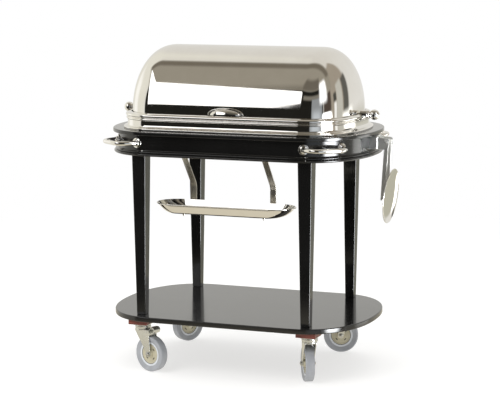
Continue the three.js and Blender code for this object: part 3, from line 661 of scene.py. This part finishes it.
def make_pull():
    """Half-moon cup, open below, on a back plate with a round rim."""
    low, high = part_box("lid_pull")
    base, back = low.z, high.y
    half_width, half_out, tall, wall = 0.056, 0.0168, 0.021, 0.0018
    lats, lons = 16, 32
    row = lons + 1
    verts, faces = [], []
    for shell in (0.0, wall):
        first = len(verts)
        for i in range(lats + 1):
            lat = math.pi / 2 * i / lats
            for k in range(row):
                lon = math.pi * k / lons
                x = (half_width - shell) * math.cos(lat) * math.cos(lon)
                y = -(half_out - shell) * math.cos(lat) * math.sin(lon)
                verts.append((x, y, (tall - shell) * math.sin(lat)))
        for i in range(lats):
            for k in range(lons):
                a = first + i * row + k
                quad = (a, a + 1, a + row + 1, a + row)
                faces.append(tuple(reversed(quad)) if shell else quad)
    inner = (lats + 1) * row
    for k in range(lons):
        faces.append((k, inner + k, inner + k + 1, k + 1))
    cup = moved((verts, faces), shift(0, back - 0.0022, base))
    turns = [math.pi * k / 40 for k in range(41)]
    outline = [(0.064 * math.cos(a), 0.0245 * math.sin(a)) for a in turns]
    plate = moved(prism(outline, 0.0018), shift(0, back - 0.0012, base))
    rim = [(0.0625 * math.cos(a), back - 0.0028, base + 0.0008 + 0.0228 * math.sin(a)) for a in turns]
    part = merge(cup, plate, tube(rim, 0.0016, 12))
    piece("cup_pull", part, SILVER, "lid_body", "lid_pull", angle=40)


def make_pivot(name, side):
    """Collar on the pan frame, and the pin through it with its ball finial; side is -1 or 1 along X."""

    def distance(node, outer_end):
        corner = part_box(node)[outer_end if side > 0 else 1 - outer_end]
        return abs(corner.x - CENTRE_X)

    inner, outer = (distance("pivot_bracket_" + name, outer_end) for outer_end in (0, 1))
    place = shift(CENTRE_X, 0, PIVOT.z) @ turn(90 * side, "Y")
    bore = 0.0063
    collar = [(bore, inner), (0.0142, inner), (0.015, inner + 0.001), (0.015, outer - 0.013)]
    collar += arc(0.0128, outer - 0.0105, 0.0022, 90, -20, 6)[1:]
    collar += [(0.0122, outer - 0.0085)] + arc(0.0130, outer - 0.0050, 0.0020, -60, 60, 5)
    collar += [(0.0118, outer - 0.0018), (0.0108, outer), (bore, outer)]
    piece("pivot_collar_" + name, lathe(collar, 56, closed=True), SILVER, "carriage",
          "pivot_bracket_" + name, at=place)
    start, ball_radius = 0.352, 0.018
    ball = distance("pivot_knob_" + name, 1) - ball_radius
    knob = [(0, start), (0.0054, start), (0.006, start + 0.0006), (0.006, outer + 0.0003),
            (0.0102, outer + 0.0003)]
    knob += arc(0.0100, outer + 0.0022, 0.0018, -80, 80, 6)
    knob += [(0.0088, outer + 0.0042)]
    neck = math.degrees(math.acos((ball - outer - 0.0052) / ball_radius))
    for i in range(23):
        a = math.radians(neck + (180 - neck) * i / 22)
        knob.append((ball_radius * math.sin(a), ball - ball_radius * math.cos(a)))
    piece("pivot_finial_" + name, lathe(knob, 56), SILVER, "carriage", "pivot_knob_" + name,
          at=place)


# ------------------------------------------------------------------ corner handles

def make_handle(side):
    """Bar bowed out round the corner, standing on two roses square to the apron."""
    sx = 1 if side[1] == "r" else -1
    sy = 1 if side[0] == "b" else -1
    feet = []
    for x in HANDLE["feet"]:
        slope = (oval_depth(APRON_FACE, x + 0.001) - oval_depth(APRON_FACE, x - 0.001)) / 0.002
        feet.append((Vector((x, oval_depth(APRON_FACE, x), 0)), Vector((-slope, 1, 0)).normalized()))
    (first, first_out), (last, last_out) = feet
    chord = (last - first).normalized()
    out = Vector((-chord.y, chord.x, 0))
    bow = []
    for t, share in ((0.02, 0.62), (0.2, 0.95), (0.5, 1), (0.8, 0.95), (0.98, 0.62)):
        bow.append(first.lerp(last, t) + out * (HANDLE["reach"] * share))
    path = spline([first - first_out * 0.002, first + first_out * 0.014, *bow,
                   last + last_out * 0.014, last - last_out * 0.002], 7)
    rose = [(0, 0.0004), (0.0172, 0.0004), *arc(0.0165, 0.0018, 0.0014, -60, 90, 5), (0.0128, 0.0040),
            (0.0112, 0.0052), *arc(0.0100, 0.0075, 0.0018, -70, 90, 6), (0.0090, 0.0098), (0.0084, 0.0122),
            (0.0081, 0.0150), (0, 0.0150)]
    parts = [tube(path, HANDLE["bar"], 24)]
    for point, normal in feet:
        aim = normal.to_track_quat("Z", "X").to_matrix().to_4x4()
        parts.append(moved(lathe(rose, 40), Matrix.Translation(point) @ aim))
    part = moved(merge(*parts), Matrix.Diagonal((sx, sy, 1, 1)))
    piece("grip_" + side, part, SILVER, "carriage", "handle_" + side, angle=40,
          at=shift(CENTRE_X, 0, middle("handle_" + side).z))


# ------------------------------------------------------------------ cutlery tray and its straps

def make_tray():
    """Long oval dish: flat floor, sides that flare up to a rolled rim, and the same again inside."""
    low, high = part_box("tray")
    top, bottom = high.z, low.z
    rim = {"straight": 0.176, "end": 0.073, "depth": 0.068, "power": 2}
    floor = {"straight": 0.162, "end": 0.032, "depth": 0.050, "power": 2}
    wall, roll, steps = 0.0016, 0.0022, 14

    def side(flare, shrink, z):
        spec = {key: floor[key] + (rim[key] - floor[key]) * flare for key in rim}
        return [(x, y, z) for x, y in oval(spec, -shrink, 40)]

    def rise(flare):
        return (top - bottom - 0.001) * flare * flare

    flares = [i / steps for i in range(steps)]
    rows = [side(0, 0.012, bottom)]
    rows += [side(flare, 0, bottom + rise(flare)) for flare in flares]
    rows += ovals(rim, arc(-0.0005, top - roll, roll, -110, 110, 10), 40)
    rows += [side(flare, wall, bottom + wall + rise(flare) * 0.97) for flare in reversed(flares)]
    rows.append(side(0, 0.012, bottom + wall))
    piece("cutlery_tray", skin(rows), SILVER, "carriage", "tray", angle=50,
          at=shift(CENTRE_X, middle("tray").y, 0))


def make_hanger(name):
    """Strap from the apron, bent out behind the tray and in under it, with its screw and rivets."""
    low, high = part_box("tray_hanger_" + name)
    tray_low, tray_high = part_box("tray")
    tray_y = middle("tray").y
    thickness = 0.003
    half = thickness / 2
    bend_high, bend_low = 0.8, 0.655
    under = tray_low.z - 0.0003 - half
    back = tray_high.y + 0.0013 + half
    front = low.y + half
    line = [(front, high.z), (front, bend_high), (back, bend_low), (back, under), (tray_y - 0.028, under)]
    screw = [(0, -0.0078), (0.0022, -0.0078), (0.0028, -0.0068), (0.0028, -0.0030), (0.0052, -0.0030),
             (0.0052, -0.0004), (0.0046, 0), (0, 0)]
    parts = [ribbon(rounded(line, 0.012, 7), high.x - low.x, thickness),
             moved(lathe(screw, 12), shift(0, tray_y - 0.022, under - half))]
    head = [(0, 0), (0.0048, 0), (0.0042, 0.0012), (0.0024, 0.002), (0, 0.0022)]
    for z in (high.z - 0.008, high.z - 0.019):
        parts.append(moved(lathe(head, 24), shift(0, front + half, z) @ turn(-90, "X")))
    piece("tray_strap_" + name, merge(*parts), STRAP, "carriage", "tray_hanger_" + name,
          bevel=0.0005, at=shift(middle("tray_hanger_" + name).x, 0, 0))


# ------------------------------------------------------------------ plate holder

def make_holder():
    hinge = Vector(JOINTS["plate_arm_fold"]["pos_m"])
    low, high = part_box("plate_bracket")
    face = CENTRE_X + 0.478
    strap_y, strap_half, ear_y, thickness = 0.020, 0.0075, 0.0253, 0.0046

    # bracket: base plate, an ear on each side of the hinge and three screw heads
    base_low, base_high = low.z, 0.830
    half_y, half_z, middle_z = high.y, (base_high - base_low) / 2, (base_low + base_high) / 2
    rows = []
    for x, shrink in ((low.x, 0.0), (face - 0.0015, 0.0), (face, 0.0015)):
        rows.append([(x, y, z) for y, z in rounded_box(half_y - shrink, half_z - shrink, 0.006, 5)])
    parts = [moved(skin(rows), shift(0, 0, middle_z))]
    inner, foot = face - 0.004 - hinge.x, base_low - hinge.z
    ear = [(inner, foot), *rounded([(-0.010, foot), (0.006, foot), (0.0105, -0.006)], 0.012, 8)]
    ear += [*arc(0, 0, 0.011, -30, 90, 12), (inner, base_high - 0.003 - hinge.z)]
    for s in (-1, 1):
        parts.append(moved(prism(ear, thickness), shift(hinge.x, s * ear_y, hinge.z)))
    head = [(0, 0), (0.0052, 0), (0.0046, 0.0014), (0.0026, 0.0023), (0, 0.0026)]
    for y, z in ((-0.009, 0.010), (0.009, 0.010), (0.0, -0.012)):
        parts.append(moved(lathe(head, 28), shift(face, y, middle_z + z) @ turn(90, "Y")))
    piece("holder_bracket", merge(*parts), SATIN, "carriage", "plate_bracket", bevel=0.0006,
          at=shift(0, 0, 0))

    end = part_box("plate_pin")[1].y
    pin = mirrored([(0, -end), (0.005, -end), (0.0068, -end + 0.001),
                    (0.0068, -end + 0.003), (0.004, -end + 0.003)])
    piece("holder_pin", lathe(pin, 32), SATIN, "carriage", "plate_pin",
          at=shift(hinge.x, 0, hinge.z) @ turn(90, "X"))

    # arm: two straps, the barrel between them and the cross plate that carries the dish
    arm_place = shift(hinge.x, 0, hinge.z) @ turn(HOLDER_LEAN, "Y")
    drop, dish_back = 0.188, 0.014
    tilt = shift(dish_back, 0, -drop) @ turn(DISH_TILT, "Y")
    foot = -drop - 0.016
    strap = [(-strap_half, foot), (strap_half, foot), (strap_half, 0),
             *arc(0, 0, strap_half, 0, 180, 14)[1:-1], (-strap_half, 0)]
    parts = [moved(prism(strap, thickness), shift(0, s * strap_y, 0)) for s in (-1, 1)]
    parts.append(moved(slab(0.0085, 2 * strap_y, 0.032), tilt @ shift(-0.0003 - 0.00425, 0, 0)))
    barrel = mirrored([(0, -0.0172), (0.0062, -0.0172), (0.0068, -0.0166)])
    parts.append(moved(lathe(barrel, 32), turn(90, "X")))
    piece("holder_arm", merge(*parts), SATIN, "plate_holder", "plate_arm", bevel=0.0007,
          at=arm_place)

    # dish: flat middle with a faint ring, a rim that sweeps up, and the same again inside
    r = 0.095
    flat = r * 0.66
    dish = [(0, 0), (flat, 0)]
    dish += [(flat + (r - 0.002 - flat) * t, 0.0075 * t ** 1.7) for t in (0.2, 0.4, 0.6, 0.8, 1.0)]
    dish += arc(r - 0.0016, 0.0085, 0.0014, -60, 120, 7)
    dish += [(flat + (r - 0.004 - flat) * t, 0.0016 + 0.0068 * t ** 1.7) for t in (0.95, 0.8, 0.6, 0.4, 0.2)]
    dish += [(flat, 0.0016), (r * 0.64, 0.0020), (r * 0.62, 0.0016), (0, 0.0016)]
    piece("holder_dish", lathe(dish, 96), SILVER, "plate_holder", "plate_dish",
          at=arm_place @ tilt @ turn(90, "Y"))


# ------------------------------------------------------------------ under the dome

def make_fittings():
    """The frame's own pan, deck and board take a finish; the sauce pans and their covers are turned."""
    for node, material in (("water_pan", STEEL), ("pan_deck", STEEL), ("carving_board", MAPLE)):
        frame["nodes"][node].data.materials.clear()
        frame["nodes"][node].data.materials.append(material)
    for name in ("front", "back"):
        low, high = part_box("sauce_pan_" + name)
        centre = (low + high) / 2
        radius = (high.x - low.x) / 2 - 0.007
        depth = high.z - low.z - 0.002
        pan = [(0, 0), *arc(radius - 0.008, 0.008, 0.008, -90, 0, 8)]
        pan += [(radius, depth), (radius + 0.006, depth)]
        pan += arc(radius + 0.006, depth + 0.001, 0.001, -90, 90, 5)
        pan += [(radius - 0.002, depth + 0.002), (radius - 0.002, 0.010)]
        pan += arc(radius - 0.010, 0.010, 0.008, 0, -90, 8) + [(0, 0.002)]
        piece("sauce_bowl_" + name, lathe(pan, 64), STEEL, "sauce_" + name, "sauce_pan_" + name,
              at=shift(centre.x, centre.y, low.z))
        low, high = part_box("sauce_lid_" + name)
        rise = high.z - low.z
        wide = (high.x - low.x) / 2
        lid = [(0, 0), (wide, 0), *arc(wide - 0.001, 0.001, 0.001, -90, 90, 5)]
        lid += [(wide - 0.006, 0.0025), (wide - 0.008, 0.0045)]
        for t in (0.15, 0.3, 0.45, 0.6, 0.75, 0.9, 1.0):
            lid.append((wide - 0.008 - (wide - 0.013) * t, 0.0045 + 0.0095 * math.sin(t * math.pi / 2)))
        lid += [(0.005, rise - 0.012), *arc(0.0035, rise - 0.0055, 0.0055, -60, 90, 10), (0, rise)]
        piece("sauce_cover_dome_" + name, lathe(lid, 56), SILVER, "sauce_cover_" + name,
              "sauce_lid_" + name, at=shift(centre.x, centre.y, low.z))


# ------------------------------------------------------------------ studio

def smooth_step(tree, value, start, end):
    """0 below start and 1 above end, or the other way round when end is the lower one."""
    low, high = sorted((start, end))
    flip = end < start
    made = add(tree, "MapRange", {"Value": value, "From Min": low, "From Max": high,
                                  "To Min": 1.0 if flip else 0.0, "To Max": 0.0 if flip else 1.0},
               interpolation_type="SMOOTHSTEP")
    return made.outputs["Result"]


def product(tree, *factors):
    total = factors[0]
    for factor in factors[1:]:
        total = add(tree, "Math", {0: total, 1: factor}, operation="MULTIPLY").outputs[0]
    return total


# Cards around the trolley that its polished faces mirror. A "round" card lies between two azimuths from
# the guest side towards +X and two elevations; a "tent" card between two angles towards +X and two angles
# that turn about the X axis from the guest side upwards. All in degrees: name, kind, across, up, softness,
# slant of the top edge, brightness.
CARDS = (
    ("pale wall on the left", "round", (-140, -58), (-90, 64), 9, 0.0, (0.76, 0.745, 0.67)),
    ("bright end of that wall", "round", (-124, -98), (-10, 22), 7, 0.0, (0.96, 0.95, 0.91)),
    ("brown wall on the right", "round", (82, 136), (-90, 62), 4, 0.0, (0.34, 0.30, 0.245)),
    ("ceiling", "tent", (-43.5, 62), (40, 98.5), 4, 0.0, (0.30, 0.275, 0.225)),
    ("ceiling beam", "tent", (-43, 40), (87, 98.5), 4, 0.0, (0.16, 0.14, 0.11)),
    ("dark ceiling ahead", "round", (-27, 50), (41, 62), 5, 0.0, (0.14, 0.125, 0.10)),
    ("olive wall behind", "round", (144, 180), (-50, -5), 3, 0.0, (0.46, 0.45, 0.37)),
    ("dark room ahead", "round", (-54, 62), (-90, 41), 2, 0.0, (0.013, 0.0125, 0.0105)),
    ("lintel", "round", (-16, 62), (26, 33), 2.5, 0.0, (0.20, 0.185, 0.155)),
    ("grey door", "round", (17, 58), (-90, 27), 2, 0.0, (0.27, 0.285, 0.30)),
    ("pale threshold", "round", (22, 52), (-90, 6), 9, 0.0, (0.52, 0.56, 0.60)),
    ("dark cabinet", "round", (64, 90), (-90, 27), 3, 0.0, (0.075, 0.057, 0.045)),
    ("pale post", "round", (108, 124), (-90, 26), 2.5, 0.0, (0.52, 0.51, 0.46)),
    ("dark window", "round", (98, 107), (10, 19), 2, 0.0, (0.07, 0.07, 0.06)),
    ("bright pane", "round", (100, 107), (-90, 9), 2, 0.0, (0.90, 0.90, 0.88)),
    ("dark doorway", "round", (126, 139), (-90, 24), 2.5, 0.0, (0.11, 0.107, 0.095)),
    ("bright ground on the right", "round", (124, 147), (-50, -4), 4, 0.0, (2.6, 2.6, 2.5)),
    ("low lamp on the right", "round", (63, 88), (-32, -3), 7, 0.0, (30.0, 30.7, 31.4)),
    ("left softbox", "tent", (-40.5, -17.3), (11.6, 5.2), 0.5, 2.0, (1.5, 1.5, 1.5)),
    ("flag under the softbox", "tent", (-19.6, -16.0), (8, 204), 0.4, -10.0, (0.013, 0.0125, 0.0105)),
    ("right softbox", "round", (50, 76), (18, 50), 6, 0.0, (1.7, 1.72, 1.76)),
)


def make_world():
    """Even white for the camera and for soft light; cards in a room for reflections."""
    world = bpy.data.worlds.new("studio")
    world.use_nodes = True
    bpy.context.scene.world = world
    tree = world.node_tree
    tree.nodes.clear()
    direction = add(tree, "TexCoord").outputs["Generated"]
    split = add(tree, "SeparateXYZ", {"Vector": direction})
    x, y, z = (split.outputs[k] for k in "XYZ")

    def angle(operation, *inputs):
        radians = add(tree, "Math", dict(enumerate(inputs)), operation=operation).outputs[0]
        return add(tree, "Math", {0: radians}, operation="DEGREES").outputs[0]

    ahead = add(tree, "Math", {0: y, 1: -1.0}, operation="MULTIPLY").outputs[0]
    systems = {
        "round": (angle("ARCTAN2", x, ahead), angle("ARCSINE", z)),
        "tent": (angle("ARCSINE", x), angle("ARCTAN2", z, ahead)),
    }
    height = systems["round"][1]
    seen = ramp(tree, scaled(tree, height, -90, 90),
                [(0.3, (0.80, 0.79, 0.76)), (0.6, (0.70, 0.69, 0.655)), (0.85, (0.66, 0.64, 0.595))])
    for _, kind, (left, right), (low, high), soft, slant, tone in CARDS:
        across, up = systems[kind]
        top = add(tree, "Math", {0: across, 1: slant, 2: up}, operation="MULTIPLY_ADD").outputs[0]
        mask = product(tree, smooth_step(tree, across, left - soft, left + soft),
                       smooth_step(tree, across, right + soft, right - soft),
                       smooth_step(tree, up, low - soft, low + soft),
                       smooth_step(tree, top, high + soft, high - soft))
        seen = mixed(tree, mask, seen, (*tone, 1))
    glossy = add(tree, "Background", {"Color": seen, "Strength": 1.06})
    plain = add(tree, "Background", {"Color": (1, 1, 1, 1), "Strength": 1.0})
    soft_light = add(tree, "Background", {"Color": (0.97, 0.985, 1.0, 1), "Strength": 0.86})
    rays = add(tree, "LightPath")
    both = add(tree, "MixShader", {0: rays.outputs["Is Glossy Ray"], 1: soft_light.outputs[0],
                                   2: glossy.outputs[0]})
    final = add(tree, "MixShader", {0: rays.outputs["Is Camera Ray"], 1: both.outputs[0],
                                    2: plain.outputs[0]})
    add(tree, "OutputWorld", {"Surface": final.outputs[0]})


def make_floor():
    """Pale disc that fades out; the polished faces mirror it as a warm carpet close by."""
    radius, rings, segments = 4.0, 24, 96
    verts, faces = [(0, 0, 0)], []
    for r in range(1, rings + 1):
        for i in range(segments):
            a = TURN * i / segments
            verts.append((radius * r / rings * math.cos(a), radius * r / rings * math.sin(a), 0))
    for i in range(segments):
        j = (i + 1) % segments
        faces.append((0, 1 + i, 1 + j))
        for r in range(rings - 1):
            a, b = 1 + r * segments, 1 + (r + 1) * segments
            faces.append((a + i, b + i, b + j, a + j))
    mesh = bpy.data.meshes.new("floor")
    mesh.from_pydata(verts, [], faces)
    material = bpy.data.materials.new("pale_floor")
    material.use_nodes = True
    tree = material.node_tree
    tree.nodes.clear()
    coords = add(tree, "TexCoord").outputs["Object"]
    reach = add(tree, "VectorMath", {0: coords}, operation="LENGTH").outputs["Value"]
    fade = ramp(tree, scaled(tree, reach, 0.0, radius), [(0.45, 0.0), (0.9, 1.0)], "EASE")
    diffuse = add(tree, "BsdfDiffuse", {"Color": (0.44, 0.435, 0.425, 1)})
    lift = add(tree, "Emission", {"Color": (1, 0.995, 0.985, 1), "Strength": 0.66})
    paint = add(tree, "AddShader", {0: diffuse.outputs[0], 1: lift.outputs[0]})
    clear = add(tree, "BsdfTransparent")
    plain = add(tree, "MixShader", {0: fade, 1: paint.outputs[0], 2: clear.outputs[0]})
    near = ramp(tree, scaled(tree, reach, 0.0, radius), [(0.24, 0.0), (0.38, 1.0)], "EASE")
    warm = add(tree, "Emission", {"Color": (0.66, 0.61, 0.49, 1), "Strength": 1.0})
    carpet = add(tree, "MixShader", {0: near, 1: warm.outputs[0], 2: clear.outputs[0]})
    rays = add(tree, "LightPath")
    shown = add(tree, "MixShader", {0: rays.outputs["Is Glossy Ray"], 1: plain.outputs[0],
                                    2: carpet.outputs[0]})
    add(tree, "OutputMaterial", {"Surface": shown.outputs[0]})
    mesh.materials.append(material)
    floor = bpy.data.objects.new("floor", mesh)
    floor.location = (CENTRE_X, 0, 0)
    bpy.context.scene.collection.objects.link(floor)


def make_light(name, location, target, size, power):
    light = bpy.data.lights.new(name, "AREA")
    light.shape = "RECTANGLE"
    light.size, light.size_y = size
    light.energy = power
    lamp = bpy.data.objects.new(name, light)
    lamp.location = location
    lamp.rotation_mode = "QUATERNION"
    lamp.rotation_quaternion = (Vector(target) - Vector(location)).to_track_quat("-Z", "Y")
    lamp.visible_glossy = False
    bpy.context.scene.collection.objects.link(lamp)


def make_camera():
    data = bpy.data.cameras.new("camera")
    data.sensor_width = 36
    data.lens = CAMERA["lens"]
    camera = bpy.data.objects.new("camera", data)
    azimuth, elevation, roll = (math.radians(CAMERA[key]) for key in ("azimuth", "elevation", "roll"))
    level = math.cos(elevation)
    back = Vector((math.sin(azimuth) * level, -math.cos(azimuth) * level, math.sin(elevation)))
    right = (-back).cross(Vector((0, 0, 1))).normalized()
    up = right.cross(-back)
    right, up = (math.cos(roll) * right + math.sin(roll) * up,
                 -math.sin(roll) * right + math.cos(roll) * up)
    place = Matrix((right, up, back)).transposed().to_4x4()
    x, y, z = CAMERA["from"]
    place.translation = Vector((CENTRE_X + x, y, z))
    camera.matrix_world = place
    bpy.context.scene.collection.objects.link(camera)
    bpy.context.scene.camera = camera


# ------------------------------------------------------------------ assembly

make_camera()
make_carriage()
for side in SIDES:
    make_leg(side)
    make_castor(side)
    make_handle(side)
for side in ("fl", "fr"):
    make_pedal(side)
make_frame()
make_dome()
make_pull()
make_pivot("left", -1)
make_pivot("right", 1)
make_tray()
make_hanger("left")
make_hanger("right")
make_holder()
make_fittings()

make_world()
make_floor()
make_light("key", (-1.5, -3.2, 3.6), (0, 0, 0.6), (2.4, 2.0), 60)
make_light("top", (0.3, 0.5, 4.2), (0, 0, 0.2), (4.0, 4.0), 40)
bpy.context.scene.view_settings.view_transform = "Standard"
